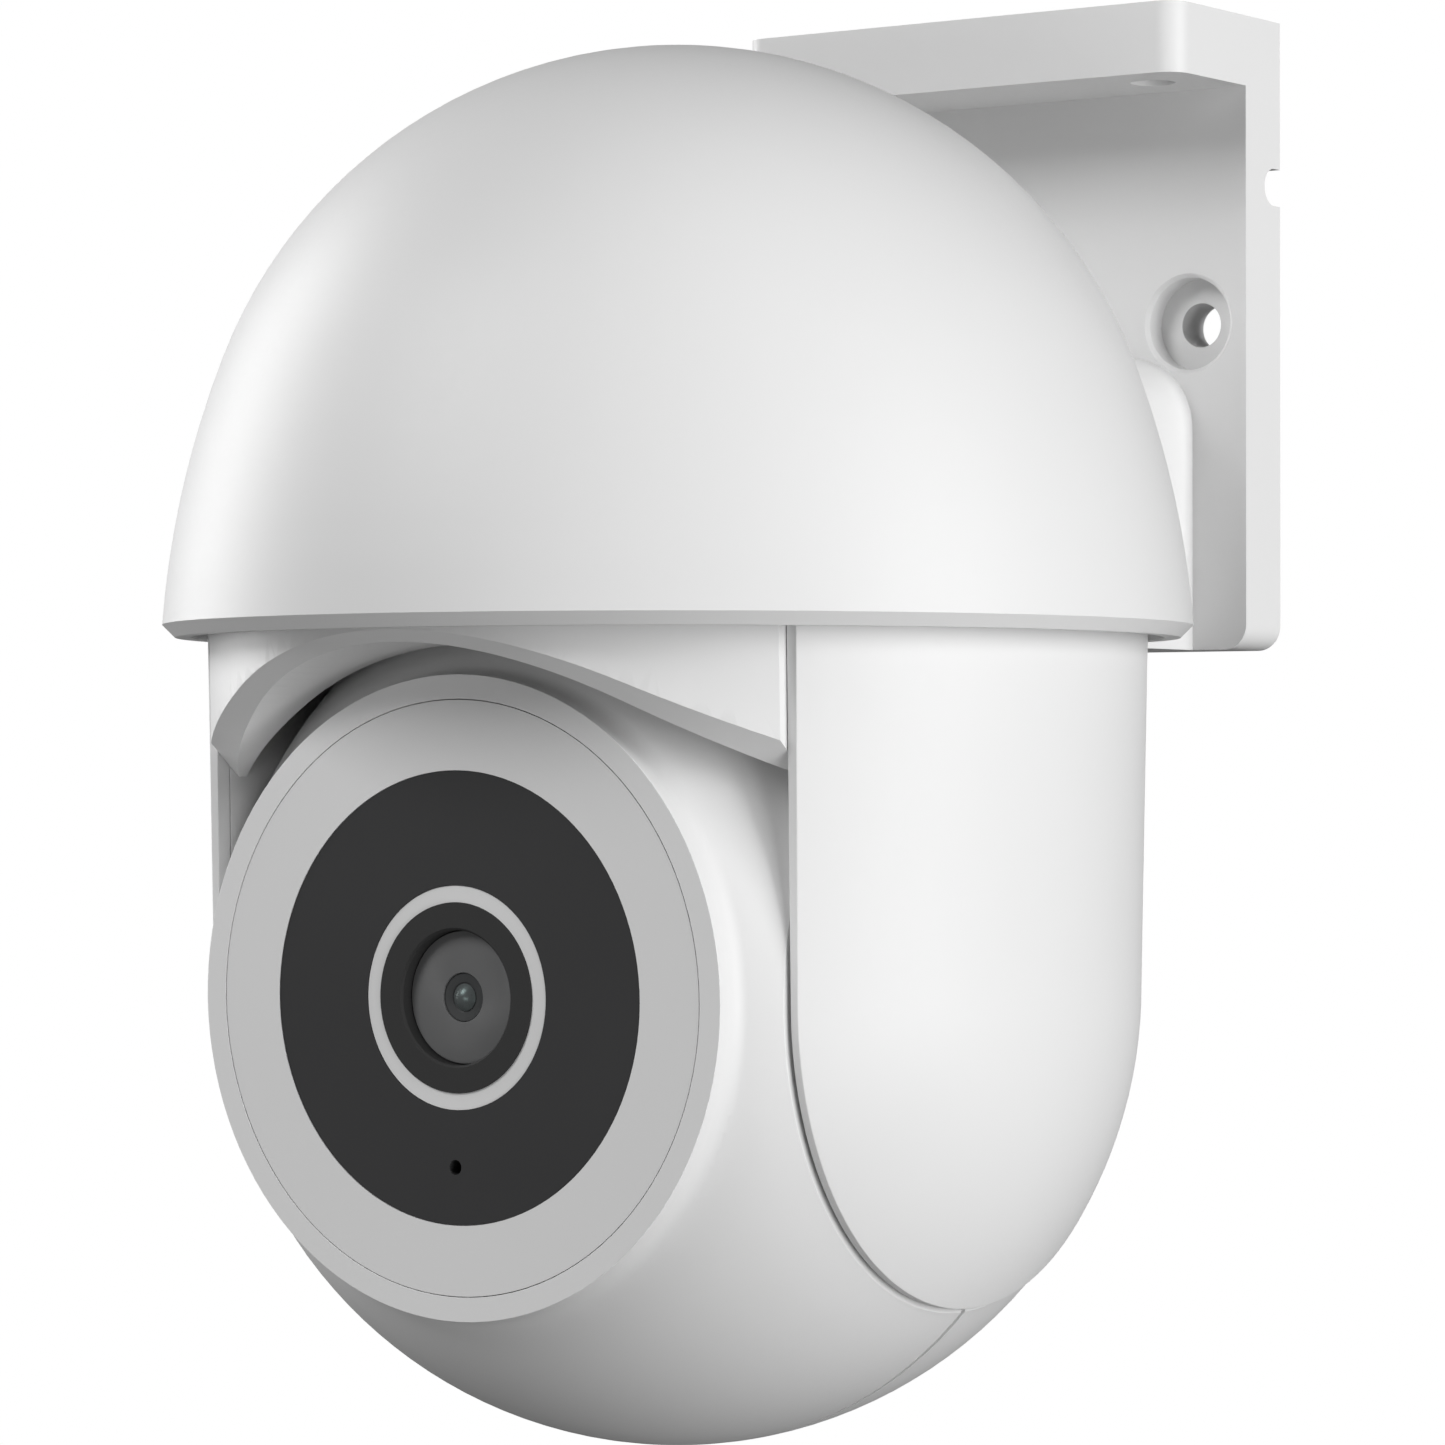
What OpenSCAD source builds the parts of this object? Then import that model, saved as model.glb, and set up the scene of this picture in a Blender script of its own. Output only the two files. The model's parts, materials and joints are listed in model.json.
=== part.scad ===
// Outdoor pan and tilt security camera hanging from an L-shaped wall and ceiling bracket.
// Millimetres, +Z up. The origin is midway between the two wall screws, on the wall plane.
// The camera reaches out along -Y and looks along -Y. The pan axis is vertical, the tilt axis
// runs along X through the centre of the ball. Sub-parts are drawn about the ball's centre and
// then carried to their place by head_place().

/* [Overall] */
// Diameter of the dome at its rim
dome_d = 115; // [114:0.5:117]
// Height of the dome above the top of its rim chamfer
dome_h = 64.7; // [64:0.1:66]
// Diameter of the ball that holds the lens
ball_d = 102; // [101:0.2:102.4]
// Distance from the wall to the pan axis
reach = 82.6; // [82.2:0.1:84]
// Drop from the wall screws to the tilt axis
drop = 78.2; // [78:0.1:79]

/* [Dome] */
// Radius of the dome's round top
dome_top_r = 54.4; // [54.2:0.1:54.8]
// Wall thickness of the dome
dome_wall = 2; // [1.8:0.1:2.2]
// Height of the dome's underside above the tilt axis
rim_z = 38.8; // [38.6:0.1:39]
// Size of the chamfer round the rim
rim_chamfer = 1.4; // [1:0.1:1.6]
// Radius of the opening inside the rim
rim_inner_r = 54.3; // [54:0.1:54.6]

/* [Bracket] */
// Width of the bracket
bracket_w = 62; // [61:0.5:64]
// Thickness of the bracket's two plates
plate_t = 8.45; // [8:0.05:9]
// Height of the bracket's top above the tilt axis
bracket_top = 114.9; // [114:0.1:116]
// Length of the ceiling flange, out from the wall
flange_l = 25.1; // [24:0.1:26]
// Distance between the two screw holes of a row
screw_pitch = 46; // [45:0.5:47]
// Diameter of the mounting screw holes
screw_hole_d = 5.4; // [5:0.1:5.6]
// Diameter of the counterbore for a screw head
counterbore_d = 11.2; // [10.6:0.1:11.4]
// Depth of the counterbore
counterbore_depth = 3.3; // [3:0.1:3.6]
// Half the width of the neck between plate and dome
neck_half_w = 23.6; // [23:0.1:24]

/* [Yoke] */
// Radius of the arm covers at the height of the tilt axis
cover_r = 51.7; // [51.6:0.05:51.9]
// How far the covers stand proud of the front and rear shells
cover_proud = 0.1; // [0:0.1:0.4]
// Distance from the middle to the inner face of an arm
arm_x = 38.2; // [38.1:0.05:38.4]
// Radius of the U-shaped lower end of an arm cover
cover_u_r = 33.85; // [33.6:0.05:34]
// Slope of the yoke's sides, outwards per unit of height
draft = 0.019; // [0.01:0.001:0.022]
// Radius of the hollow that the ball turns in
hollow_r = 53.5; // [53.4:0.1:53.8]

/* [Visor] */
// Radius of the arch over the lens face
arch_r = 50; // [48:0.5:52]
// Height of the arch's crest above the tilt axis
arch_top = 37.4; // [37:0.1:37.8]
// Angle at which the arch turns into its straight ends
arch_turn = 29.3; // [27:0.1:31]
// Distance from the pan axis to the arch's sharp front edge, at the height of its ends
edge_r = 49; // [48.8:0.1:49.2]
// Lean of that edge, outwards per unit of height
edge_lean = 0.153; // [0.14:0.001:0.16]
// Depth below the tilt axis of the point from which the bevel's slope fans out
bevel_depth = 18; // [14:1:24]

/* [Lens face] */
// Distance from the pan axis to the front of the lens face
face_y = 40.7; // [40.5:0.1:41]
// Outer radius of the bezel
bezel_r = 34.2; // [34:0.1:34.3]
// Outer radius of the white face plate
face_plate_r = 31.5; // [31.2:0.1:31.6]
// Outer radius of the dark window
window_r = 24; // [23.8:0.1:24.2]
// Outer radius of the white ring round the lens
ring_r = 11.85; // [11.8:0.05:12.1]
// Inner radius of the white ring round the lens
ring_inner_r = 10.1; // [9.9:0.05:10.2]
// Radius of the recess in front of the lens
recess_r = 7.15; // [7:0.05:7.3]

/* [Drives] */
// Module of all gears
gear_module = 0.7; // [0.7:0.1:0.7]
// Teeth of the pan gear
pan_teeth = 60; // [60:2:60]
// Teeth of the pan motor's pinion
pan_pinion_teeth = 16; // [16:2:16]
// Teeth of the fixed tilt gear
tilt_teeth = 40; // [40:2:40]
// Teeth of the tilt motor's pinion
tilt_pinion_teeth = 14; // [14:2:14]

/* [Hidden] */
$fn = 96;
eps = 0.01;
big = 200;
seam_gap = 0.1;          // half the gap between two shells that meet
fit_gap = 0.05;          // radial clearance of a shaft in its bush
dome_r = dome_d / 2;
ball_r = ball_d / 2;
chamfer_z = rim_z + rim_chamfer;
crown_z = chamfer_z + dome_h - dome_top_r;        // centre of the dome's round top
flank_turn = 21;                                  // elevation where top and flank arcs meet
flank_dz = chamfer_z - crown_z;
flank_extra = (dome_r * dome_r + flank_dz * flank_dz - dome_top_r * dome_top_r)
    / (2 * (dome_top_r - dome_r * cos(flank_turn) - flank_dz * sin(flank_turn)));
lip_z = 43;                                       // top of the thick lip inside the rim
yoke_top_z = 43.2;                                // top of the yoke's shells
crown_r = 46;                                     // radius of the yoke's crown
crown_flange_r = 51.6;
crown_flange_z = 45.8;
crown_top_z = 57;
shell_wall = 2;
head_wall = 2.4;
flat_x = arm_x - 0.5;                             // flat sides of the ball
arm_plate_t = 2.4;
spindle_r = 6;
chassis_z = 64;
chassis_t = 3;
chassis_r = 48.4;
chassis_top = chassis_z + chassis_t;
post_pcr = 40;                                    // circle of the posts that hold the chassis
pan_centre = gear_module * (pan_teeth + pan_pinion_teeth) / 2;
tilt_centre = gear_module * (tilt_teeth + tilt_pinion_teeth) / 2;
gear_z = 58.6;
gear_w = 4;
trunnion_r = 6;
bush_r = 8.5;
bush_x = 31;                                      // inner end of a tilt bush
tilt_gear_x = 27.6;
tilt_gear_w = 3;
board_z = 88;
board_t = 1.6;
led_board_y = 36;
head_screw_x = 24;
head_screw_z = 27;
wall_y = reach;                                   // wall plane, measured from the pan axis
plate_y = wall_y - plate_t;
wall_screw_z = drop;
flange_z = bracket_top - plate_t;
flange_front = wall_y - flange_l;
ceiling_screw_y = (flange_front + plate_y) / 2;
notch_z = 94.8;
notch_r = 2.25;
notch_depth = 3.8;
cable_z = 55;                                     // cable hole between dome and wall
neck_screw_x = 15;
neck_screw_low = 51.8;
neck_screw_high = 59.4;
motor_screw_y = 14;                               // pan motor's ears
bearing_low = 65;
bearing_high = 70;
retainer_z = 70.1;
main_board_y = 0.2;                               // front face of the main board
speaker_x = -14;
button_x = 7;
button_y = 13.4;
power_board_holes = [[-24, 14], [-24, -14], [10, 21], [10, -21]];
white = [0.93, 0.93, 0.93];
pale = [0.82, 0.83, 0.84];
dark = [0.12, 0.12, 0.13];
smoke = [0.2, 0.2, 0.21];
steel = [0.7, 0.71, 0.73];
pcb = [0.07, 0.35, 0.2];

// ---------- helpers ----------

module head_place() {
    translate([0, -reach, -drop]) children();
}

// Cylinder along Y from y0 to y1, centred on x and z
module rod_y(r, y0, y1, x = 0, z = 0) {
    translate([x, y1, z]) rotate([90, 0, 0]) cylinder(r = r, h = y1 - y0);
}

// Cylinder along X from x0 to x1, centred on y and z
module rod_x(r, x0, x1, y = 0, z = 0) {
    translate([x0, y, z]) rotate([0, 90, 0]) cylinder(r = r, h = x1 - x0);
}

module rod_z(r, z0, z1, x = 0, y = 0) {
    translate([x, y, z0]) cylinder(r = r, h = z1 - z0);
}

// Box from one corner to the opposite corner
module block(low, high) {
    translate(low) cube(high - low);
}

// Turns a profile of radius against height above the wall side about the Y axis, towards -Y
module turned_front() {
    rotate([90, 0, 0]) rotate_extrude() children();
}

module both_sides() {
    children();
    mirror([1, 0, 0]) children();
}

// Cross-head screw with its shaft down -Z and its head on top of z = 0
module screw(r, l, head_r, head_h) {
    slot_w = head_r * 0.35;
    difference() {
        union() {
            rod_z(r, -l, 0);
            rod_z(head_r * 0.8, 0, head_h);
            rod_z(head_r, 0, head_h * 0.6);
        }
        translate([0, 0, head_h]) cube([head_r * 1.2, slot_w, head_h], center = true);
        translate([0, 0, head_h]) cube([slot_w, head_r * 1.2, head_h], center = true);
    }
}

// ---------- involute gears ----------

function involute(base_r, t) =
    [base_r * (cos(t) + t * PI / 180 * sin(t)), base_r * (sin(t) - t * PI / 180 * cos(t))];
function roll_angle(base_r, r) = sqrt(max(0, (r / base_r) * (r / base_r) - 1)) * 180 / PI;
function turned(p, a) = [p[0] * cos(a) - p[1] * sin(a), p[0] * sin(a) + p[1] * cos(a)];

// Outline of a spur gear with 20 degree flanks and one tooth centred on +X
function gear_outline(teeth, backlash = 0.12, steps = 3) =
    let (
        pitch_r = gear_module * teeth / 2,
        base_r = pitch_r * cos(20),
        tip_r = pitch_r + gear_module * 0.95,
        root_r = pitch_r - gear_module * 1.2,
        first_r = max(base_r, root_r),
        pitch_roll = roll_angle(base_r, pitch_r),
        pitch_p = involute(base_r, pitch_roll),
        half = 90 / teeth - backlash / 2 / pitch_r * 180 / PI + atan2(pitch_p[1], pitch_p[0]),
        root_p = turned([root_r, 0], -half),
        flank = [for (i = [0:steps])
            turned(involute(base_r, roll_angle(base_r, first_r + (tip_r - first_r) * i / steps)), -half)],
        side = concat([root_p], flank),
        other = [for (i = [len(side) - 1:-1:0]) [side[i][0], -side[i][1]]],
        tooth = concat(side, other)
    )
    [for (i = [0:teeth - 1]) for (p = tooth) turned(p, i * 360 / teeth)];

module spur_gear(teeth, w, turn = 0) {
    rotate([0, 0, turn]) linear_extrude(w) polygon(gear_outline(teeth));
}

// ---------- bracket ----------

module bracket_plate_outline() {
    half = bracket_w / 2;
    corner = 3;
    difference() {
        translate([-half, rim_z - 0.15]) square([bracket_w, bracket_top - rim_z + 0.15]);
        for (s = [-1, 1]) translate([s * half, rim_z - 0.15]) difference() {
            square(2 * corner, center = true);
            translate([-s * corner, corner]) circle(r = corner);
        }
    }
}

module bracket_flange_outline() {
    half = bracket_w / 2;
    corner = 3;
    difference() {
        translate([-half, flange_front]) square([bracket_w, flange_l]);
        for (s = [-1, 1]) translate([s * half, flange_front]) difference() {
            square(2 * corner, center = true);
            translate([-s * corner, corner]) circle(r = corner);
        }
    }
}

// Lower part of the dome's outline between two heights, moved inwards by t
module dome_flank(t, low, high) {
    intersection() {
        translate([-flank_extra * cos(flank_turn), crown_z - flank_extra * sin(flank_turn)])
            circle(r = dome_top_r + flank_extra - t);
        translate([0, low]) square([big, high - low]);
    }
}

// Half of the dome's outline, radius across and height up, moved inwards by t
module dome_half(t, low) {
    join_z = crown_z + (dome_top_r - t) * sin(flank_turn);
    intersection() {
        translate([0, crown_z]) circle(r = dome_top_r - t);
        translate([0, join_z]) square([big, big]);
    }
    dome_flank(t, low, join_z);
}

module neck_outline() {
    corner = 9;
    neck_top = 74.4;
    low = rim_z - 0.15;
    translate([-neck_half_w, low]) square([2 * neck_half_w, neck_top - corner - low]);
    translate([-neck_half_w + corner, low]) square([2 * (neck_half_w - corner), neck_top - low]);
    for (s = [-1, 1]) translate([s * (neck_half_w - corner), neck_top - corner]) circle(r = corner);
}

// Upright L with a neck that carries the dome, screwed to a wall or under a ceiling
module wall_bracket() {
    edge = 0.5;
    color(white) head_place() difference() {
        union() {
            translate([0, wall_y, 0]) rotate([90, 0, 0])
                linear_extrude(plate_t) bracket_plate_outline();
            translate([0, 0, flange_z]) linear_extrude(plate_t) bracket_flange_outline();
            translate([0, plate_y + eps, 0]) rotate([90, 0, 0]) linear_extrude(30) neck_outline();
        }
        rotate_extrude() {
            dome_flank(-fit_gap, chamfer_z, bracket_top - 30);
            translate([0, rim_z - 5]) square([dome_r + fit_gap, chamfer_z - rim_z + 5]);
        }
        for (s = [-1, 1]) {
            rod_y(screw_hole_d / 2, plate_y - 1, wall_y + 1, s * screw_pitch / 2, wall_screw_z);
            rod_y(counterbore_d / 2, plate_y - 1, plate_y + counterbore_depth,
                s * screw_pitch / 2, wall_screw_z);
            translate([s * screw_pitch / 2, plate_y - eps, wall_screw_z]) rotate([-90, 0, 0])
                cylinder(r1 = counterbore_d / 2 + edge, r2 = counterbore_d / 2, h = edge);
            rod_z(screw_hole_d / 2, flange_z - 1, bracket_top + 1,
                s * screw_pitch / 2, ceiling_screw_y);
            for (z = [neck_screw_low, neck_screw_high])
                rod_y(1.3, plate_y - 26, plate_y - 4, s * neck_screw_x, z);
        }
        // Cable way: through the neck, up the back and out at either side
        rod_y(4.5, 40, wall_y + 1, 0, cable_z);
        block([-notch_r, wall_y - notch_depth, cable_z], [notch_r, wall_y + 1, notch_z]);
        rod_x(notch_r, -big / 2, big / 2, wall_y - notch_depth + notch_r, notch_z);
        block([-big / 2, wall_y - notch_depth + notch_r, notch_z - notch_r],
            [big / 2, wall_y + 1, notch_z + notch_r]);
    }
}

// Rubber sleeve that seals the cable where it enters the neck
module cable_grommet() {
    sleeve_front = 60;
    sleeve_back = 70;
    color(dark) head_place() difference() {
        rod_y(4.45, sleeve_front, sleeve_back, 0, cable_z);
        rod_y(2.6, sleeve_front - 1, sleeve_back + 1, 0, cable_z);
        for (y = [sleeve_front + 2:2.4:sleeve_back - 2]) difference() {
            rod_y(5, y, y + 0.8, 0, cable_z);
            rod_y(4, y - 1, y + 2, 0, cable_z);
        }
    }
}

// ---------- dome ----------

module dome_solid(t, low) {
    rotate_extrude() dome_half(t, low);
}

// Round weather cover that hides the pan drive and holds everything below it
module dome_cover() {
    inner_top = chassis_top;
    color(white) head_place() difference() {
        union() {
            difference() {
                union() {
                    dome_solid(0, chamfer_z);
                    translate([0, 0, rim_z])
                        cylinder(r1 = dome_r - rim_chamfer, r2 = dome_r, h = rim_chamfer);
                }
                dome_solid(dome_wall, lip_z);
                rod_z(rim_inner_r, rim_z - 1, lip_z + eps);
            }
            intersection() {
                union() {
                    rotate([0, 0, 45]) for (a = [0:90:270]) rotate([0, 0, a])
                        rod_z(4, inner_top, 100, post_pcr);
                    for (s = [-1, 1], z = [neck_screw_low, neck_screw_high])
                        rod_y(4, 46.5, 60, s * neck_screw_x, z);
                    rod_y(5.5, 48, 60, 0, cable_z);
                }
                dome_solid(dome_wall / 2, lip_z);
            }
        }
        for (s = [-1, 1], z = [neck_screw_low, neck_screw_high])
            rod_y(1.7, 40, 60, s * neck_screw_x, z);
        rod_y(3.5, 40, 60, 0, cable_z);
        rotate([0, 0, 45]) for (a = [0:90:270]) rotate([0, 0, a])
            rod_z(1.3, inner_top - 1, inner_top + 9, post_pcr);
    }
}

// Four screws from inside the dome into the bracket's neck
module bracket_screws() {
    color(steel) head_place()
        for (s = [-1, 1], z = [neck_screw_low, neck_screw_high])
            translate([s * neck_screw_x, 46.45, z]) rotate([90, 0, 0]) screw(1.25, 18, 2.6, 1.4);
}

// Disc across the dome that carries the pan bearing, the motor and the power board
module chassis_plate() {
    color(pale) head_place() difference() {
        union() {
            rod_z(chassis_r, chassis_z, chassis_top);
            rod_z(13.5, chassis_z - 1, bearing_high);
            for (a = [0:60:300]) rotate([0, 0, a])
                block([13, -0.8, chassis_top - eps], [chassis_r - 12, 0.8, chassis_top + 2]);
            power_board_posts(3, board_z);
        }
        rod_z(10.5, bearing_low, bearing_high + 1);
        rod_z(9, chassis_z - 2, bearing_low + 1);
        rod_z(11.4, chassis_top, chassis_top + 3, pan_centre);
        rod_z(4.6, chassis_z - 1, chassis_top + 1, pan_centre);
        for (s = [-1, 1]) {
            rod_z(1.05, chassis_z - 1, chassis_top + 3, pan_centre, s * motor_screw_y);
            rod_z(3, chassis_top, chassis_top + 3, pan_centre, s * motor_screw_y);
        }
        rotate([0, 0, 45]) for (a = [0:90:270]) rotate([0, 0, a])
            rod_z(1.7, chassis_z - 1, chassis_top + 1, post_pcr);
        power_board_posts(1.05, board_z + 1, board_z - 8);
        // Way for the cable, past the rear of the plate
        rod_z(5, chassis_z - 1, chassis_top + 1, 0, 44);
    }
}

module power_board_posts(r, top, low = chassis_top - 0.5) {
    for (p = power_board_holes) rod_z(r, low, top, p[0], p[1]);
}

// Four screws up through the chassis into the dome's posts
module chassis_screws() {
    color(steel) head_place() rotate([0, 0, 45]) for (a = [0:90:270]) rotate([0, 0, a])
        translate([post_pcr, 0, chassis_z - 0.02]) rotate([180, 0, 0]) screw(1.25, 10.5, 3, 1.6);
}

// Ball bearing between the chassis and the yoke's spindle
module pan_bearing() {
    color(steel) head_place() difference() {
        rod_z(10.45, bearing_low, bearing_high);
        rod_z(spindle_r + fit_gap, bearing_low - 1, bearing_high + 1);
        for (z = [bearing_low - 1, bearing_high - 0.6]) translate([0, 0, z]) difference() {
            cylinder(r = 9.2, h = 1.6);
            translate([0, 0, -1]) cylinder(r = 7.4, h = 4);
        }
    }
}

// Stepper motor with a round can, two ears and a wire outlet
module stepper(can_r, can_h, ear_pitch, shaft_r) {
    ear_r = 2.9;
    difference() {
        union() {
            rod_z(can_r, 0.8, can_h);
            rod_z(4.4, -1.2, 0.8 + eps);
            for (s = [-1, 1]) translate([0, s * ear_pitch / 2, 0]) cylinder(r = ear_r, h = 0.8);
            block([-ear_r, -ear_pitch / 2, 0], [ear_r, ear_pitch / 2, 0.8]);
            rod_z(can_r - 0.01, 0, 0.8 + eps);
            block([-4.5, can_r - 2, 3], [4.5, can_r + 1.6, can_h - 3]);
        }
        for (s = [-1, 1]) translate([0, s * ear_pitch / 2, -1]) cylinder(r = 1.3, h = 4);
        rod_z(shaft_r + fit_gap, -2, can_h - 4);
        for (z = [can_h * 0.45, can_h * 0.75]) translate([0, 0, z]) difference() {
            cylinder(r = can_r + 2, h = 0.4);
            translate([0, 0, -1]) cylinder(r = can_r - 0.3, h = 3);
            block([-4.6, can_r - 2, -1], [4.6, can_r + 3, 2]);
        }
    }
}

// Motor that turns the yoke, standing on the chassis with its shaft down
module pan_motor() {
    color(steel) head_place() translate([pan_centre, 0, chassis_top])
        stepper(11, 18, 2 * motor_screw_y, 1.25);
}

// Board that takes the cable's power and network wires
module power_board() {
    color(pcb) head_place() difference() {
        union() {
            block([-27, -17, board_z], [14, 17, board_z + board_t]);
            block([-4, 16.9, board_z], [14, 24, board_z + board_t]);
            block([-4, -24, board_z], [14, -16.9, board_z + board_t]);
            block([-14, -6, board_z + board_t - eps], [-2, 6, board_z + 4]);
            block([-24, -6, board_z + board_t - eps], [-18, 6, board_z + 6]);
            rod_z(3, board_z + board_t - eps, board_z + 7, 4, 10);
            rod_z(3, board_z + board_t - eps, board_z + 7, 4, 3);
            block([1, -14, board_z + board_t - eps], [9, -6, board_z + 5]);
        }
        power_board_posts(1.4, board_z + 3, board_z - 1);
    }
}

// Six small screws on the chassis, two for the motor and four for the power board
module deck_screws() {
    color(steel) head_place() {
        for (p = power_board_holes)
            translate([p[0], p[1], board_z + board_t + 0.02]) screw(1, 4, 1.9, 1.1);
        for (s = [-1, 1]) translate([pan_centre, s * motor_screw_y, chassis_top + 0.82])
            screw(1, 4, 1.9, 1.1);
    }
}

// Printed aerial on the underside of the power board's rear edge
module wifi_antenna() {
    color([0.75, 0.5, 0.25]) head_place() difference() {
        block([-26, -9, board_z - 0.7], [-19, 9, board_z - 0.02]);
        for (y = [-7:4:5]) block([-24.5, y, board_z - 0.8], [-20, y + 2, board_z - 0.5]);
    }
}

// Pinion and shaft of the pan motor
module pan_pinion() {
    color(pale) head_place() translate([pan_centre, 0, 0]) {
        translate([0, 0, gear_z - 0.4]) spur_gear(pan_pinion_teeth, gear_w + 0.6, 180 / pan_pinion_teeth);
        rod_z(1.25, gear_z + gear_w - 1, chassis_top + 12);
    }
}

// ---------- yoke ----------

// Drafted round outline of the yoke, with radius r at the tilt axis
module yoke_round(r, top = yoke_top_z, low = 0) {
    translate([0, 0, low]) cylinder(r1 = r + draft * low, r2 = r + draft * top, h = top - low);
}

// Crown under the dome with two arm plates, and the ball's hollow below it
module yoke_frame() {
    color(pale) head_place() difference() {
        union() {
            rod_z(crown_flange_r, yoke_top_z, crown_flange_z);
            rod_z(crown_r, crown_flange_z - eps, crown_top_z);
            both_sides() intersection() {
                union() {
                    arm_cover_body(cover_r - shell_wall - 0.1, shell_wall + 0.1, arm_x);
                    block([arm_x, -28, 0], [60, 28, yoke_top_z + 1]);
                }
                block([arm_x - 1, -big, -big], [arm_x + arm_plate_t, big, yoke_top_z + 1]);
            }
        }
        intersection() {
            sphere(r = hollow_r, $fn = 160);
            rod_z(36, 30, 60);
        }
        both_sides() rod_x(trunnion_r + 0.03, 30, 60);
        both_sides() for (a = [90:120:330]) rotate([a, 0, 0]) rod_x(1.05, 30, 60, 9.5);
        rod_z(4.5, 50, 60);
        for (a = [0:120:240]) rotate([0, 0, a]) rod_z(1.05, crown_top_z - 3.5, 60, 9.6);
        // Pockets that lighten the crown
        for (a = [0:45:315]) rotate([0, 0, a + 22.5]) difference() {
            intersection() {
                rod_z(crown_r - 2.5, 48, 60);
                block([0, -12.5, 40], [60, 12.5, 70]);
            }
            rod_z(34, 40, 70);
        }
        yoke_screw_places() {
            rod_z(1.7, 40, 60);
            rod_z(2.7, crown_flange_z - 0.3, 60);
        }
        both_sides() cover_screw_places() {
            rod_x(1.15, 30, 60);
            rod_x(1.7, 30, arm_x + 1.2);
        }
    }
}

// Places of the screws that hold a cover to its arm plate
module cover_screw_places() {
    for (y = [-24, 24], z = [20, 36]) translate([0, y, z]) children();
}

// Places of the screws that hold the front and rear shells up to the crown's flange
module yoke_screw_places() {
    for (a = [-30, 30, 150, 210]) rotate([0, 0, a - 90]) translate([47.8, 0, 0]) children();
}

// Arch over the lens, seen from the front: round over the top, straight towards its ends
module arch_outline(r, top, turn) {
    centre = top - r;
    turn_x = r * sin(turn);
    turn_z = centre + r * cos(turn);
    fall = (60 - turn_x) * tan(turn);
    translate([0, centre]) intersection() {
        circle(r = r);
        polygon([[0, 0], [-turn_x * 3, r * cos(turn) * 3], [turn_x * 3, r * cos(turn) * 3]]);
    }
    polygon([[-60, -60], [60, -60], [60, turn_z - fall], [turn_x, turn_z], [-turn_x, turn_z],
        [-60, turn_z - fall]]);
}

module yoke_shell_round() {
    difference() {
        intersection() {
            yoke_round(cover_r - cover_proud);
            block([-arm_x + 0.1, -big, 0], [arm_x - 0.1, big, yoke_top_z]);
        }
        sphere(r = hollow_r, $fn = 160);
        difference() {
            yoke_round(cover_r - cover_proud - shell_wall, yoke_top_z + 1, 40.2);
            yoke_screw_places() rod_z(3.2, 30, 50);
        }
        yoke_screw_places() rod_z(1.3, 36, 50);
        block([-arm_x, -20, -1], [arm_x, 20, 60]);
    }
}

// Height of the arch above the tilt axis at a distance from its middle
function arch_z(x) = let (turn_x = arch_r * sin(arch_turn), top = arch_top - arch_r)
    abs(x) < turn_x ? top + sqrt(arch_r * arch_r - x * x)
    : top + arch_r * cos(arch_turn) - (abs(x) - turn_x) * tan(arch_turn);

// Point of the arch's sharp front edge, as seen from the point that the bevel fans out from
function edge_ray(x) = let (z = arch_z(x), r = edge_r + edge_lean * (z - arch_z(arm_x)))
    [x, -sqrt(r * r - x * x), z + bevel_depth];

// Everything below the bevel that runs along the front of the arch
module bevel_cut(steps = 48, half = 41) {
    rays = [for (i = [0:steps]) edge_ray(-half + 2 * half * i / steps)];
    near = [for (p = rays) 0.96 * p - [0, 0, bevel_depth]];
    far = [for (p = rays) 1.2 * p - [0, 0, bevel_depth]];
    near_low = [for (p = near) [p[0], p[1], -5]];
    far_low = [for (p = far) [p[0], p[1], -5]];
    n = steps + 1;
    polyhedron(
        points = concat(near, far, far_low, near_low),
        faces = concat(
            [[0, n, 2 * n, 3 * n], [n - 1, 4 * n - 1, 3 * n - 1, 2 * n - 1]],
            [for (k = [0:3], i = [0:steps - 1])
                let (a = k * n + i, b = (k + 1) % 4 * n + i) [a, a + 1, b + 1, b]]));
}

// Front shell with the visor over the lens face
module yoke_front() {
    color(white) head_place() difference() {
        intersection() {
            yoke_shell_round();
            block([-big, -big, 0], [big, -seam_gap, 60]);
        }
        rotate([90, 0, 0]) linear_extrude(big) arch_outline(arch_r, arch_top, arch_turn);
        bevel_cut();
    }
}

// Rear shell with a plain arch over the ball
module yoke_rear() {
    color(white) head_place() difference() {
        intersection() {
            yoke_shell_round();
            block([-big, seam_gap, 0], [big, big, 60]);
        }
        rotate([90, 0, 180]) linear_extrude(big) arch_outline(arch_r, arch_top - 6, arch_turn);
    }
}

module arm_cover_outline(inset) {
    r = cover_u_r - inset;
    top = yoke_top_z - 0.1;
    circle(r = r);
    polygon([[-r, 0], [r, 0], [r + draft * top, top], [-r - draft * top, top]]);
}

module arm_cover_body(r, inset, x) {
    intersection() {
        translate([x, 0, 0]) rotate([90, 0, 90]) linear_extrude(30) arm_cover_outline(inset);
        union() {
            yoke_round(r, yoke_top_z + 1);
            intersection() {
                sphere(r = r, $fn = 160);
                rod_z(big, -big, eps);
            }
        }
    }
}

// U-shaped cover over the right arm, hollow behind
module arm_cover() {
    difference() {
        arm_cover_body(cover_r, 0, arm_x);
        difference() {
            arm_cover_body(cover_r - shell_wall, shell_wall, arm_x - 1);
            cover_screw_places() rod_x(3, arm_x + arm_plate_t, 60);
        }
        cover_screw_places() rod_x(1.05, arm_x, arm_x + 5.5);
    }
}

module arm_cover_right() {
    color(white) head_place() arm_cover();
}

module arm_cover_left() {
    color(white) head_place() mirror([1, 0, 0]) arm_cover();
}

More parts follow.
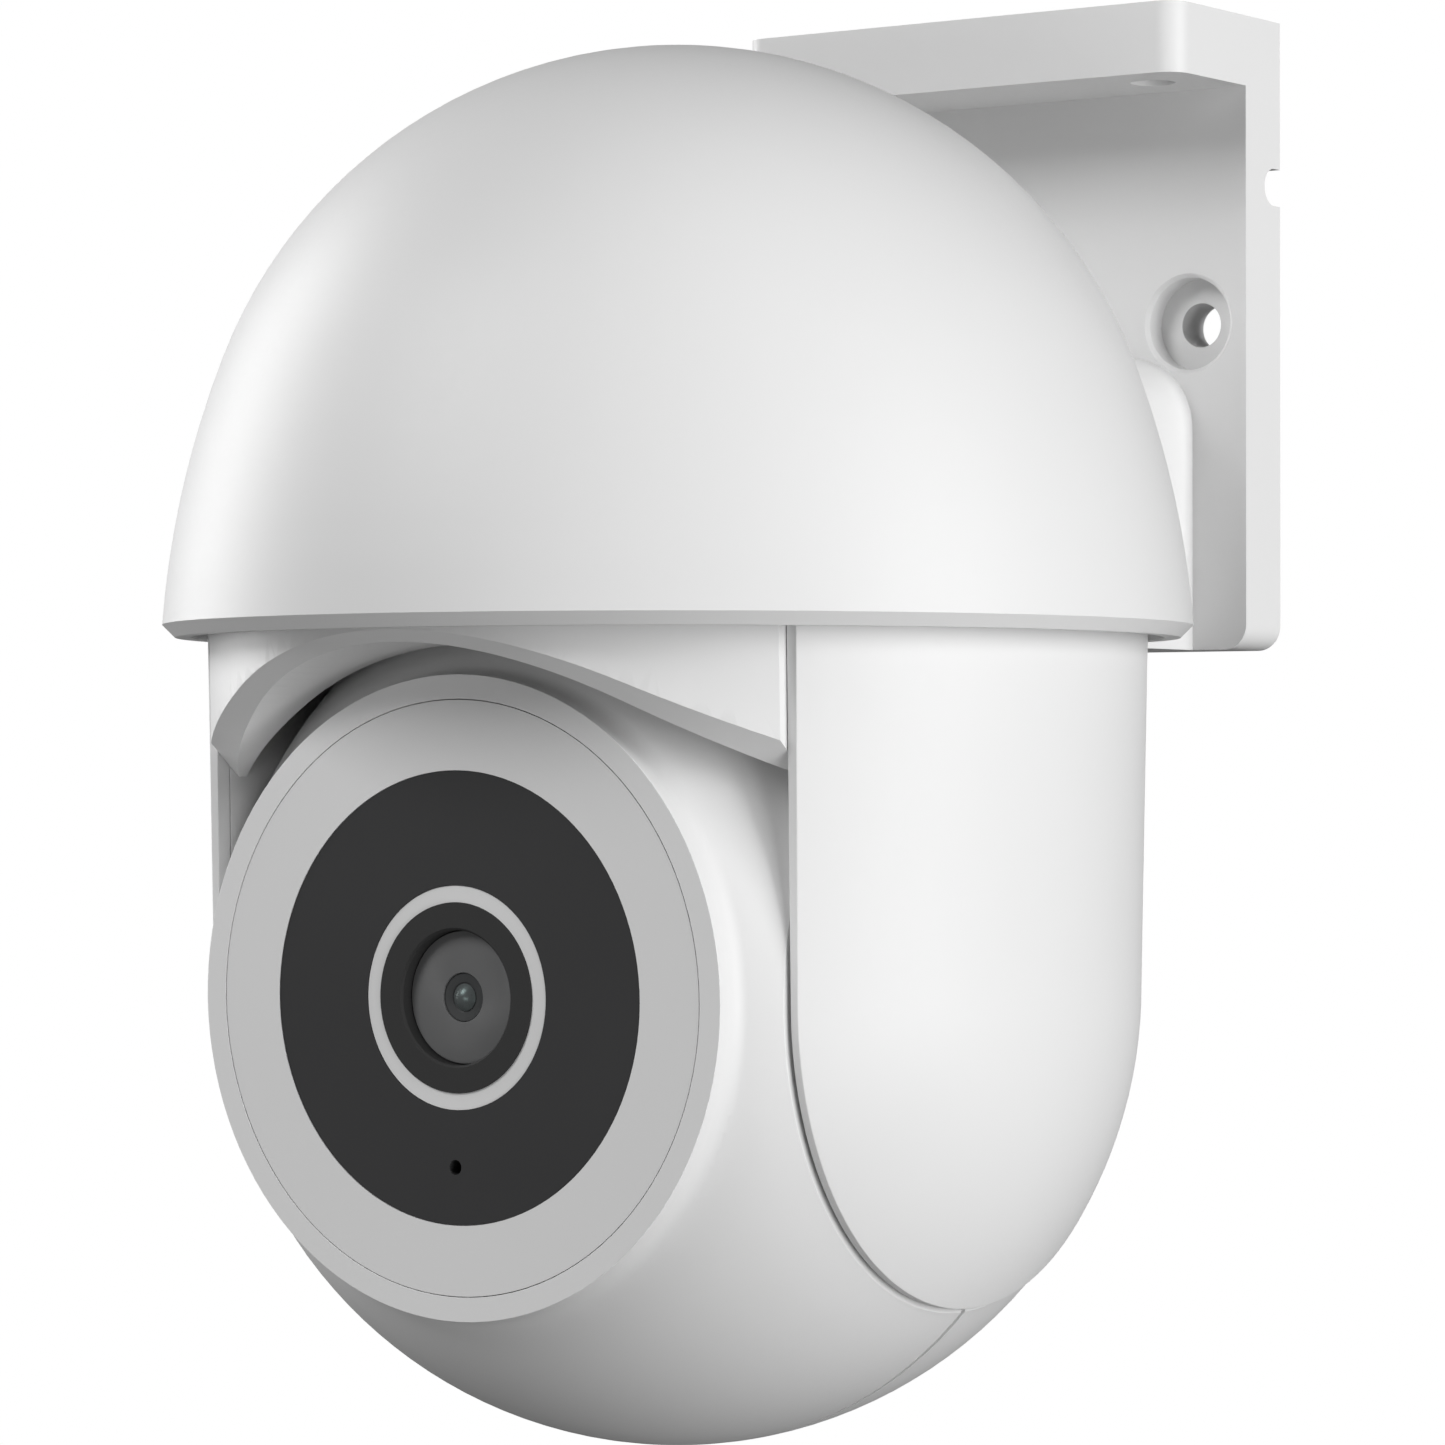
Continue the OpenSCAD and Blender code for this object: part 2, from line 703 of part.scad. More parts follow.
module yoke_screws() {
    color(steel) head_place() yoke_screw_places()
        translate([0, 0, crown_flange_z - 0.28]) screw(1.25, 8, 2.4, 1.4);
}

// Screws from the ball's side through the arm plates into the covers
module arm_cover_screws() {
    color(steel) head_place() both_sides() cover_screw_places()
        translate([arm_x + 1.18, 0, 0]) rotate([0, -90, 0]) screw(1, 4.2, 1.55, 1);
}

// Ring gear on the spindle's flange
module pan_gear() {
    color(pale) head_place() difference() {
        translate([0, 0, gear_z]) spur_gear(pan_teeth, gear_w);
        rod_z(spindle_r + 0.03, 50, 70);
        for (a = [0:120:240]) rotate([0, 0, a]) {
            rod_z(1.15, 50, 70, 9.6);
            rod_z(2.2, gear_z + gear_w - 1.5, 70, 9.6);
        }
        for (a = [0:60:300]) rotate([0, 0, a + 30]) rod_z(3, 50, 70, 15.5);
    }
}

// Hollow spindle that the yoke hangs from, with the wires passing up its middle
module pan_spindle() {
    color(steel) head_place() difference() {
        union() {
            rod_z(13, crown_top_z + 0.02, gear_z - 0.02);
            rod_z(spindle_r, crown_top_z + 0.02, 75);
        }
        rod_z(4.2, 50, 80);
        for (a = [0:120:240]) rotate([0, 0, a]) rod_z(1.15, 50, 70, 9.6);
        translate([0, 0, retainer_z]) difference() {
            cylinder(r = 7, h = 1.2);
            translate([0, 0, -1]) cylinder(r = 5.2, h = 4);
        }
    }
}

// Snap ring in the spindle's groove, above the bearing
module pan_retainer() {
    color(steel) head_place() difference() {
        rod_z(7.3, retainer_z + 0.05, retainer_z + 1.15);
        rod_z(5.25, retainer_z - 1, retainer_z + 3);
        rotate([0, 0, 40]) block([0, -2, retainer_z - 1], [20, 2, retainer_z + 3]);
    }
}

module spindle_screws() {
    color(steel) head_place() for (a = [0:120:240]) rotate([0, 0, a])
        translate([9.6, 0, gear_z + gear_w - 1.48]) screw(1, 7.4, 2, 1.1);
}

// Flanged stub axle, screwed to an arm plate from outside
module trunnion(inner_x, bore_r) {
    difference() {
        union() {
            rod_x(trunnion_r, inner_x, arm_x + arm_plate_t + 1.6);
            rod_x(12, arm_x + arm_plate_t + 0.02, arm_x + arm_plate_t + 1.8);
        }
        rod_x(bore_r, inner_x - 1, 60);
        for (a = [90:120:330]) rotate([a, 0, 0]) rod_x(1.3, 30, 60, 9.5);
    }
}

module trunnion_right() {
    color(steel) head_place() trunnion(tilt_gear_x + tilt_gear_w + 0.05, 1.6);
}

// Hollow, because the wires pass through it into the ball
module trunnion_left() {
    color(steel) head_place() mirror([1, 0, 0]) trunnion(bush_x - 1, 4);
}

module trunnion_screws() {
    color(steel) head_place() both_sides() for (a = [90:120:330]) rotate([a, 0, 0])
        translate([arm_x + arm_plate_t + 1.82, 9.5, 0]) rotate([0, 90, 0]) screw(1, 3.8, 1.8, 1.1);
}

// Gear that stays with the yoke while the ball's pinion climbs round it
module tilt_gear() {
    color(pale) head_place() difference() {
        union() {
            translate([tilt_gear_x, 0, 0]) rotate([90, 0, 90]) spur_gear(tilt_teeth, tilt_gear_w);
            rod_x(1.55, tilt_gear_x, arm_x + 2);
        }
        for (a = [0:60:300]) rotate([a + 30, 0, 0]) rod_x(2.4, 20, 40, 9.6);
    }
}

// ---------- ball ----------

module ball_solid(r, x) {
    intersection() {
        sphere(r = r, $fn = 160);
        block([-x, -big, -big], [x, big, big]);
    }
}

// Concave sweep from the ball up to the bezel's side, radius against forward distance
module bezel_sweep() {
    r = 3;
    cx = bezel_r + r;
    cy = sqrt((ball_r + r) * (ball_r + r) - cx * cx);
    touch_x = cx * ball_r / (ball_r + r);
    touch_y = cy * ball_r / (ball_r + r);
    difference() {
        polygon([[0, 0], [touch_x, touch_y], [cx, cy], [bezel_r, cy], [bezel_r, face_y],
            [0, face_y]]);
        translate([cx, cy]) circle(r = r);
    }
}

module head_bosses(r, y0, y1) {
    for (sx = [-1, 1], sz = [-1, 1]) rod_y(r, y0, y1, sx * head_screw_x, sz * head_screw_z);
}

module seal_outline(r, x) {
    intersection() {
        circle(r = r);
        square([2 * x, 2 * r], center = true);
    }
}

module seal_band(half_w, outer, inner) {
    difference() {
        translate([0, half_w, 0]) rotate([90, 0, 0]) linear_extrude(2 * half_w) difference() {
            seal_outline(ball_r - outer, flat_x - outer);
            seal_outline(ball_r - inner, flat_x - inner);
        }
        both_sides() rod_x(bush_r + 1.6, 20, 50);
    }
}

// Three lugs inside the front shell that the lamp board rests on
module led_board_lugs() {
    for (a = [90:120:330]) rotate([0, a, 0])
        block([24, -led_board_y + 1.42, -3], [33.4, -30, 3]);
}

module bush_housing() {
    both_sides() rod_x(bush_r + 2.2, bush_x, flat_x - 1);
}

module bush_bores() {
    both_sides() rod_x(bush_r, bush_x - 5, flat_x + 5);
}

// Front half of the ball with the raised bezel round the lens face
module head_front() {
    color(white) head_place() difference() {
        union() {
            difference() {
                union() {
                    ball_solid(ball_r, flat_x);
                    turned_front() bezel_sweep();
                }
                ball_solid(ball_r - head_wall, flat_x - head_wall);
            }
            intersection() {
                union() {
                    bush_housing();
                    head_bosses(4.2, -40, 0);
                }
                ball_solid(ball_r - 1, flat_x - 0.5);
            }
            intersection() {
                turned_front() difference() {
                    translate([0, 33]) square([bezel_r - 1, face_y - 33 - 2.2]);
                    translate([0, 30]) square([28.5, 20]);
                }
                union() {
                    ball_solid(ball_r - 1, flat_x - 0.5);
                    rod_y(bezel_r - 1, -face_y, -36);
                }
            }
            led_board_lugs();
        }
        block([-big, -seam_gap, -big], [big, big, big]);
        bush_bores();
        turned_front() translate([0, face_y - 2.2]) square([face_plate_r + 0.1, 20]);
        turned_front() translate([0, led_board_y - 1.4]) square([28.5, 30]);
        turned_front() translate([0, 20]) square([24.5, 30]);
        head_bosses(1.3, -14, 1);
        seal_band(0.7, 0.9, 1.9);
        turned_front() translate([ball_r - 0.35, 0]) square([1, 0.35]);
    }
}

module speaker_holes(y0, y1) {
    for (ring = [0:2]) for (a = [0:360 / max(1, ring * 6):359])
        rod_y(0.75, y0, y1, speaker_x + ring * 3 * cos(a), ring * 3 * sin(a));
}

// Outline of the service opening under the ball, rounded at its corners
module service_outline(inset) {
    r = 3 - inset / 2;
    hx = 12 - inset;
    y0 = 4 + inset;
    y1 = 27 - inset;
    translate([-hx + r, y0]) square([2 * (hx - r), y1 - y0]);
    translate([-hx, y0 + r]) square([2 * hx, y1 - y0 - 2 * r]);
    for (x = [-hx + r, hx - r], y = [y0 + r, y1 - r]) translate([x, y]) circle(r = r);
}

// The opening itself, inside the ledge
module service_opening() {
    intersection() {
        service_outline(3);
        translate([-big / 2, 0]) square([big, 22.3]);
    }
}

// Rear half of the ball with the speaker grille and the service opening
module head_rear() {
    color(white) head_place() difference() {
        union() {
            difference() {
                ball_solid(ball_r, flat_x);
                ball_solid(ball_r - head_wall, flat_x - head_wall);
            }
            intersection() {
                union() {
                    bush_housing();
                    head_bosses(4.2, 0, 40);
                    motor_bracket_posts(3.2, 35.6, 60);
                    rod_y(12, 37, 60, speaker_x, 0);
                    board_posts(2.2, main_board_y + board_t + 0.02, 60);
                    service_posts(2.6, -60, -39.4);
                    service_screw_places() rod_z(2.4, -60, -46.8);
                    translate([0, 0, -60]) linear_extrude(18.1) difference() {
                        service_outline(-2);
                        service_opening();
                    }
                }
                ball_solid(ball_r - 1, flat_x - 0.5);
            }
        }
        block([-big, -big, -big], [big, seam_gap, big]);
        bush_bores();
        head_bosses(1.6, -1, 60);
        head_bosses(3, 12, 60);
        motor_bracket_posts(0.95, 34, 42);
        board_posts(0.95, 0, 8);
        rod_y(10.2, 30, 39, speaker_x, 0);
        speaker_holes(30, 60);
        seal_band(0.7, 0.9, 1.9);
        service_posts(0.95, -44, -38);
        // Service opening with a ledge for its cover
        translate([0, 0, -60]) linear_extrude(18.1) service_opening();
        difference() {
            translate([0, 0, -60]) linear_extrude(20) service_outline(0);
            sphere(r = ball_r - 1.6, $fn = 160);
        }
        service_screw_places() rod_z(0.95, -60, -47);
        turned_front() translate([ball_r - 0.35, -0.35]) square([1, 0.35]);
    }
}

// The service cover's two screws point at the ball's centre
module service_screw_places() {
    for (a = [6.35, 29.6]) rotate([a, 0, 0]) children();
}

// Posts behind the main board's corners
module board_posts(r, y0, y1) {
    for (sx = [-1, 1], sz = [-1, 1]) rod_y(r, y0, y1, sx * 19.4, sz * 17);
}

// Rubber cord in a groove round the seam of the ball
module head_seal() {
    color(dark) head_place() seal_band(0.68, 0.95, 1.85);
}

// Four long screws from the back of the ball
module head_screws() {
    color(steel) head_place() for (sx = [-1, 1], sz = [-1, 1])
        translate([sx * head_screw_x, 12.02, sz * head_screw_z]) rotate([-90, 0, 0])
            screw(1.25, 25, 2.6, 1.6);
}

// The left bush has a collar inside the ball
module tilt_bush_left() {
    color(dark) head_place() mirror([1, 0, 0]) difference() {
        union() {
            rod_x(bush_r - 0.02, bush_x - 0.5, flat_x - 0.1);
            rod_x(bush_r + 1.4, bush_x - 1.2, bush_x - 0.02);
        }
        rod_x(trunnion_r + fit_gap, 20, 50);
    }
}

// The right bush has no collar, because the tilt gear turns just inside it
module tilt_bush_right() {
    color(dark) head_place() difference() {
        rod_x(bush_r - 0.02, bush_x + 0.3, flat_x - 0.1);
        rod_x(trunnion_r + fit_gap, 20, 50);
    }
}

// ---------- lens face ----------

// White ring that fills the bezel and holds the dark window
module face_plate() {
    color(pale) head_place() difference() {
        turned_front() difference() {
            translate([window_r - 1.6, face_y - 2.15]) square([face_plate_r - window_r + 1.6, 2.1]);
            translate([0, face_y - 1.4]) square([window_r + 0.05, 5]);
        }
        for (a = [45:90:315]) rotate([0, a, 0]) rod_y(1, -face_y + 0.8, -30, 27.5);
    }
}

// Smoked plastic window in front of the infrared lamps, with the microphone hole
module ir_window() {
    mic_drop = 17.9;
    color(smoke) head_place() difference() {
        turned_front() translate([ring_r + 0.05, face_y - 1.38])
            square([window_r - ring_r - 0.05, 1.28]);
        rod_y(0.8, -50, -30, 0, -mic_drop);
    }
}

// White trim ring round the lens
module lens_ring() {
    color(white) head_place() turned_front() {
        translate([ring_inner_r, face_y - 1.8]) square([ring_r - ring_inner_r, 1.6]);
        translate([ring_inner_r, face_y - 3]) square([ring_r - ring_inner_r + 1.5, 1.2 + eps]);
    }
}

// Black hood that surrounds the lens
module lens_hood() {
    color(dark) head_place() turned_front() difference() {
        translate([0, 33]) square([ring_inner_r - 0.03, face_y - 33]);
        translate([-1, 30]) square([recess_r + 1, 20]);
        translate([recess_r, face_y]) rotate(45) square(0.35, center = true);
    }
}

// Domed front glass of the lens with its dark stop behind it
module lens_glass() {
    color([0.35, 0.38, 0.4]) head_place() turned_front() {
        intersection() {
            translate([0, 36.4]) square([recess_r - 0.1, 4]);
            translate([0, 39.65 - 40]) circle(r = 40);
        }
    }
}

// Lens barrel with a narrow threaded rear
module lens_barrel() {
    color(dark) head_place() turned_front() {
        difference() {
            translate([0, 24]) square([recess_r - 0.12, 12.35]);
            translate([-1, 23]) square([3.6, 11]);
            polygon([[-1, 33.9], [2.6, 33.9], [6.4, 37], [-1, 37]]);
        }
        difference() {
            translate([2.6, 14]) square([3.35, 10.1]);
            for (h = [15:1:23]) translate([6.1, h]) rotate(45) square(0.35, center = true);
        }
    }
}

// Block that holds the lens over the sensor
module lens_holder() {
    color(dark) head_place() difference() {
        union() {
            block([-8, -19, -8], [8, -12, 8]);
            rod_y(8, -23, -19 + eps);
            for (s = [-1, 1]) block([s * 10 - 3, -13.5, -3], [s * 10 + 3, -12, 3]);
        }
        rod_y(5.98, -30, -10);
        for (s = [-1, 1]) rod_y(0.9, -20, -10, s * 10.8);
    }
}

// Frame behind the lens holder that the filter slides in
module ir_cut_frame() {
    color(dark) head_place() difference() {
        block([-14, -11.98, -8], [14, -8.02, 8]);
        block([-12.6, -11.2, -5.2], [12.6, -8.8, 5.2]);
        rod_y(4.8, -20, 0);
    }
}

// Slide with a clear and an infrared-blocking filter
module ir_cut_slider() {
    color([0.5, 0.25, 0.3]) head_place() difference() {
        block([-12.2, -10.8, -4.8], [5.6, -9.2, 4.8]);
        for (x = [-6.2, 0]) rod_y(2.7, -9.9, -8, x);
        for (x = [-6.2, 0]) rod_y(2.7, -12, -10.3, x);
    }
}

// Small board with the image sensor
module sensor_board() {
    color(pcb) head_place() union() {
        block([-14, -7.98, -10], [14, -6.6, 10]);
        block([-3.6, -8.7, -3], [3.6, -7.97, 3]);
        block([-7, -6.61, -8], [7, -4.8, -5]);
        for (sx = [-1, 1], sz = [-1, 1])
            rod_y(1.6, -6.61, main_board_y - 0.02, sx * 12, sz * 8.2);
    }
}

// Ring-shaped board for the lamps
module led_board() {
    color(pcb) head_place() difference() {
        union() {
            rod_y(26, -led_board_y, -led_board_y + 1.4);
            for (a = [90:120:330]) rotate([0, a, 0])
                block([24, -led_board_y, -3], [28.3, -led_board_y + 1.4, 3]);
        }
        rod_y(13.4, -50, -20);
    }
}

// Six infrared lamps round the lens
module ir_leds() {
    lamp_pcr = 18.2;
    color([0.85, 0.87, 0.9]) head_place() for (a = [0:60:300]) rotate([0, a, 0])
        translate([lamp_pcr, -led_board_y - 0.02, 0]) rotate([90, 0, 0]) {
            cylinder(r = 2.3, h = 0.8);
            translate([0, 0, 0.8 - eps]) cylinder(r = 1.9, h = 0.9);
            translate([0, 0, 1.6]) intersection() {
                sphere(r = 1.9);
                cylinder(r = 3, h = 1.2);
            }
        }
}

// Rubber sleeve that keeps the lamps' light off the lens
module lens_baffle() {
    color(dark) head_place() turned_front()
        translate([ring_inner_r + 1, 30]) square([1.9, face_y - 3.02 - 30]);
}

// Rubber boot that carries sound from the window's hole to the microphone
module microphone_boot() {
    mic_drop = 17.9;
    color(dark) head_place() difference() {
        rod_y(2, -face_y + 1.42, -led_board_y - 0.02, 0, -mic_drop);
        rod_y(0.9, -50, -led_board_y - 0.8, 0, -mic_drop);
    }
}

// ---------- electronics in the ball ----------

module main_board() {
    back = main_board_y + board_t;
    color(pcb) head_place() difference() {
        union() {
            block([-22, main_board_y, -20], [22, back, 20]);
            block([-8, -1.4, -5], [8, main_board_y + eps, 6]);
            block([-17, -1, 11], [-9, main_board_y + eps, 19]);
            block([9, -1, 11], [17, main_board_y + eps, 19]);
            block([-14, back - eps, -18], [-3, back + 3.6, -13]);
            block([3, back - eps, -18], [14, back + 3.6, -13]);
            for (x = [-14:4:14]) block([x - 0.8, -0.7, -15], [x + 0.8, main_board_y + eps, -13.8]);
        }
        board_posts(1.3, -10, 10);
    }
}

// Finned aluminium block behind the main board
module heat_sink() {
    color(steel) head_place() difference() {
        block([-13, main_board_y + board_t + 0.02, -11], [9, 8.6, 12]);
        for (x = [-11.4:2.4:8]) block([x, 3.6, -12], [x + 1.2, 10, 13]);
    }
}

module speaker() {
    color(dark) head_place() translate([speaker_x, 0, 0]) {
        difference() {
            rod_y(10, 33.5, 38.6);
            translate([0, 38.6, 0]) rotate([90, 0, 0]) cylinder(r1 = 8.6, r2 = 3, h = 1.8);
        }
        rod_y(6.5, 30.5, 33.5 + eps);
        rod_y(2.6, 36.7, 37.4);
    }
}

module motor_bracket_posts(r, y0, y1) {
    for (z = [-10.8, 10.8]) rod_y(r, y0, y1, 22, z);
}

// Motor that tilts the ball, riding inside it
module tilt_motor() {
    color(steel) head_place() translate([25.58, tilt_centre, 0]) rotate([0, -90, 0])
        rotate([0, 0, 90]) stepper(9.8, 16, 25, 1.25);
}

// Angle plate that ties the tilt motor to the ball's rear shell
module motor_bracket() {
    color(steel) head_place() difference() {
        union() {
            block([25.6, 8, -16], [27, 35.5, 16]);
            block([18.4, 34.1, -14.2], [27, 35.5, 14.2]);
        }
        rod_x(4.5, 20, 30, tilt_centre);
        for (s = [-1, 1]) rod_x(0.95, 20, 30, tilt_centre, s * 12.5);
        motor_bracket_posts(1.3, 30, 40);
        block([17, 30, -7], [25, 40, 7]);
    }
}

// Two screws through the motor's ears and two through the bracket
module tilt_motor_screws() {
    color(steel) head_place() {
        for (s = [-1, 1]) translate([24.76, tilt_centre, s * 12.5]) rotate([0, -90, 0])
            screw(0.9, 2.2, 1.9, 1.1);
        for (s = [-1, 1]) translate([22, 34.08, s * 10.8]) rotate([90, 0, 0])
            screw(0.9, 5.5, 1.9, 1.1);
    }
}

module tilt_pinion() {
    color(pale) head_place() translate([0, tilt_centre, 0]) {
        translate([tilt_gear_x - 0.2, 0, 0]) rotate([90, 0, 90])
            spur_gear(tilt_pinion_teeth, tilt_gear_w + 0.4, 180 / tilt_pinion_teeth);
        rod_x(1.25, 15, tilt_gear_x + 1);
    }
}

// Six small screws in the ball, four for the main board and two for the service board
module board_screws() {
    color(steel) head_place() {
        for (sx = [-1, 1], sz = [-1, 1]) translate([sx * 19.4, main_board_y - 0.02, sz * 17])
            rotate([90, 0, 0]) screw(0.9, 6, 1.9, 1.1);
        for (x = [-15.5, 15.5]) translate([x, 14, -37.98]) screw(0.9, 4, 1.9, 1.1);
    }
}

// ---------- service opening ----------

// Curved cover over the card slot and reset button
module service_cover() {
    color(white) head_place() difference() {
        intersection() {
            difference() {
                sphere(r = ball_r, $fn = 160);
                sphere(r = ball_r - 1.55, $fn = 160);
            }
            translate([0, 0, -60]) linear_extrude(20) service_outline(0.15);
        }
        service_screw_places() {
            rod_z(1.2, -60, -40);
            rod_z(1.6, -60, -50.2);
        }
    }
}

module service_cover_screws() {
    color(steel) head_place() service_screw_places()
        translate([0, 0, -50.22]) rotate([180, 0, 0]) screw(0.92, 2.9, 1.5, 0.7);
}

module service_posts(r, z0, z1) {
    for (x = [-15.5, 15.5]) rod_z(r, z0, z1, x, 14);
}

// Small board above the service opening, with the card socket
module service_board() {
    color(pcb) head_place() difference() {
        union() {
            block([-18, 5, -39.38], [18, 21, -38]);
            block([-9.6, 7.5, -41.4], [4.2, 20.4, -39.37]);
            block([4.9, 11.3, -41.6], [9.1, 15.5, -39.37]);
        }
        block([-8.3, 6, -40.95], [2.9, 20, -40.1]);
        service_posts(1.3, -50, -30);
        rod_z(1.25, -50, -40.2, button_x, button_y);
    }
}

// Memory card in its socket
module memory_card() {
    color(dark) head_place() difference() {
        block([-8.2, 5, -40.87], [2.8, 19.9, -40.17]);
        block([-8.5, 12, -41], [-7.6, 16, -40]);
    }
}

// Reset button that is pressed up from below
module reset_button() {
    color([0.8, 0.1, 0.1]) head_place() {
        rod_z(1.2, -43.4, -41.2, button_x, button_y);
        rod_z(1.6, -44, -43.39, button_x, button_y);
    }
}

wall_bracket();
cable_grommet();
dome_cover();
bracket_screws();
chassis_plate();
chassis_screws();
pan_bearing();
pan_motor();
power_board();
deck_screws();
wifi_antenna();
pan_pinion();
yoke_frame();
yoke_front();
yoke_rear();
arm_cover_left();
arm_cover_right();
yoke_screws();
arm_cover_screws();
pan_gear();
pan_spindle();
pan_retainer();
spindle_screws();
trunnion_left();
trunnion_right();
trunnion_screws();
tilt_gear();
head_front();
head_rear();
head_seal();
head_screws();
tilt_bush_left();
tilt_bush_right();
face_plate();
ir_window();
lens_ring();
lens_hood();
lens_glass();
lens_barrel();
lens_holder();
ir_cut_frame();
ir_cut_slider();
sensor_board();
led_board();
ir_leds();
lens_baffle();
microphone_boot();
main_board();
heat_sink();
speaker();
tilt_motor();
board_screws();
motor_bracket();
tilt_motor_screws();
tilt_pinion();
service_cover();
service_cover_screws();
service_board();
memory_card();
reset_button();
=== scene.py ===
"""Looks of the outdoor pan and tilt security camera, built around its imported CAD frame."""

import json
import math

import bmesh
import bpy
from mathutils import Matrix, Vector

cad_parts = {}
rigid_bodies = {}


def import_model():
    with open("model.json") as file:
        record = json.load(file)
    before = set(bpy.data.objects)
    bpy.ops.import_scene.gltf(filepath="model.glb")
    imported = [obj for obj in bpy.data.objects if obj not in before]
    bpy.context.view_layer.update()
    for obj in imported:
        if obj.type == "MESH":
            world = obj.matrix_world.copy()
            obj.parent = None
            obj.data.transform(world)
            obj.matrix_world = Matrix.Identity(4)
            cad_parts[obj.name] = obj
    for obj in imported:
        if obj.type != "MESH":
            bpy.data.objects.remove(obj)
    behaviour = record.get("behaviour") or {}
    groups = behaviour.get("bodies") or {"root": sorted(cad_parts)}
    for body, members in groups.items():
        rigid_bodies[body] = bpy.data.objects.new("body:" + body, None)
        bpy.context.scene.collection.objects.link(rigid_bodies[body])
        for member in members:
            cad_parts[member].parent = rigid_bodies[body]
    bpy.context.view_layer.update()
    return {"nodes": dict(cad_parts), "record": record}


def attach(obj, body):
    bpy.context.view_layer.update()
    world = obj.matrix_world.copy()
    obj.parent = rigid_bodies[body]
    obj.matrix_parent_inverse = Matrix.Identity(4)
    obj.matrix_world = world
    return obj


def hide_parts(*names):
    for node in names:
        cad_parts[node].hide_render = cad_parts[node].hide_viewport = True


MM = 0.001
MM_PER_M = 1000.0

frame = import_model()
nodes = frame["nodes"]
scene = bpy.context.scene


def new_object(name, data):
    """An object that holds the data, linked into the scene."""
    obj = bpy.data.objects.new(name, data)
    scene.collection.objects.link(obj)
    return obj


# ---------- shader helpers ----------

NOISE_LOW = 0.3             # a noise lies mostly between these two
NOISE_HIGH = 0.7
COLOUR_DRIFT = 0.012        # share by which a moulded colour wanders each way
METAL_SHADE = 0.88          # darkest part of a metal, as a share of its colour
GLASS_SHADE = 0.96
CELLS_PER_GRAIN = 4.0       # noise cells to one grain of a moulded surface
GRAIN_DEPTH = 0.02 * MM
BRUSH_DEPTH = 0.01 * MM
TRACE_DEPTH = 0.03 * MM


def new_material(name):
    """A material with nodes, its tree, and its Principled shader."""
    mat = bpy.data.materials.new(name)
    mat.use_nodes = True
    return mat, mat.node_tree, mat.node_tree.nodes["Principled BSDF"]


def object_coords(tree):
    """The tree's object coordinates, from one node that all textures share."""
    for node in tree.nodes:
        if node.type == "TEX_COORD":
            return node.outputs["Object"]
    return tree.nodes.new("ShaderNodeTexCoord").outputs["Object"]


def noise(tree, scale, detail, rough=0.6, coords=None):
    """A noise, in object coordinates unless others are given."""
    node = tree.nodes.new("ShaderNodeTexNoise")
    node.inputs["Scale"].default_value = scale
    node.inputs["Detail"].default_value = detail
    node.inputs["Roughness"].default_value = rough
    tree.links.new(coords or object_coords(tree), node.inputs["Vector"])
    return node.outputs["Fac"]


def drifting_colour(tree, shader, drift, first, second):
    """Base colour that wanders between two colours with the drift."""
    node = tree.nodes.new("ShaderNodeValToRGB")
    node.color_ramp.elements[0].color = (*first, 1.0)
    node.color_ramp.elements[1].color = (*second, 1.0)
    tree.links.new(drift, node.inputs["Fac"])
    tree.links.new(node.outputs["Color"], shader.inputs["Base Color"])


def uneven_gloss(tree, shader, marks, low, high):
    """Roughness that follows the marks from low to high."""
    node = tree.nodes.new("ShaderNodeMapRange")
    tree.links.new(marks, node.inputs["Value"])
    node.inputs["From Min"].default_value = NOISE_LOW
    node.inputs["From Max"].default_value = NOISE_HIGH
    node.inputs["To Min"].default_value = low
    node.inputs["To Max"].default_value = high
    tree.links.new(node.outputs["Result"], shader.inputs["Roughness"])


def relief(tree, shader, height, strength, distance):
    """Fine bumps on the surface."""
    node = tree.nodes.new("ShaderNodeBump")
    node.inputs["Strength"].default_value = strength
    node.inputs["Distance"].default_value = distance
    tree.links.new(height, node.inputs["Height"])
    tree.links.new(node.outputs["Normal"], shader.inputs["Normal"])


# ---------- finishes ----------

def moulded(name, colour, rough=(0.42, 0.5), grain=0.12, grain_mm=0.16, specular=0.4):
    """Moulded plastic: faint colour drift, fine spark-eroded grain and uneven gloss."""
    mat, tree, shader = new_material(name)
    low = tuple(c * (1 - COLOUR_DRIFT) for c in colour)
    high = tuple(c * (1 + COLOUR_DRIFT) for c in colour)
    drifting_colour(tree, shader, noise(tree, 45.0, 3.0), low, high)
    fine = noise(tree, MM_PER_M / grain_mm / CELLS_PER_GRAIN, 2.0, 0.5)
    uneven_gloss(tree, shader, fine, *rough)
    relief(tree, shader, fine, grain, GRAIN_DEPTH)
    shader.inputs["Specular IOR Level"].default_value = specular
    return mat


def metal(name, colour, rough=(0.22, 0.38), brushed=(1.0, 1.0, 12.0)):
    """Metal with fine drawn or turned marks."""
    mat, tree, shader = new_material(name)
    mapping = tree.nodes.new("ShaderNodeMapping")
    mapping.inputs["Scale"].default_value = brushed
    tree.links.new(object_coords(tree), mapping.inputs["Vector"])
    marks = noise(tree, 900.0, 3.0, coords=mapping.outputs["Vector"])
    low = tuple(c * METAL_SHADE for c in colour)
    drifting_colour(tree, shader, noise(tree, 150.0, 3.0), low, colour)
    uneven_gloss(tree, shader, marks, *rough)
    relief(tree, shader, marks, 0.15, BRUSH_DEPTH)
    shader.inputs["Metallic"].default_value = 1.0
    return mat


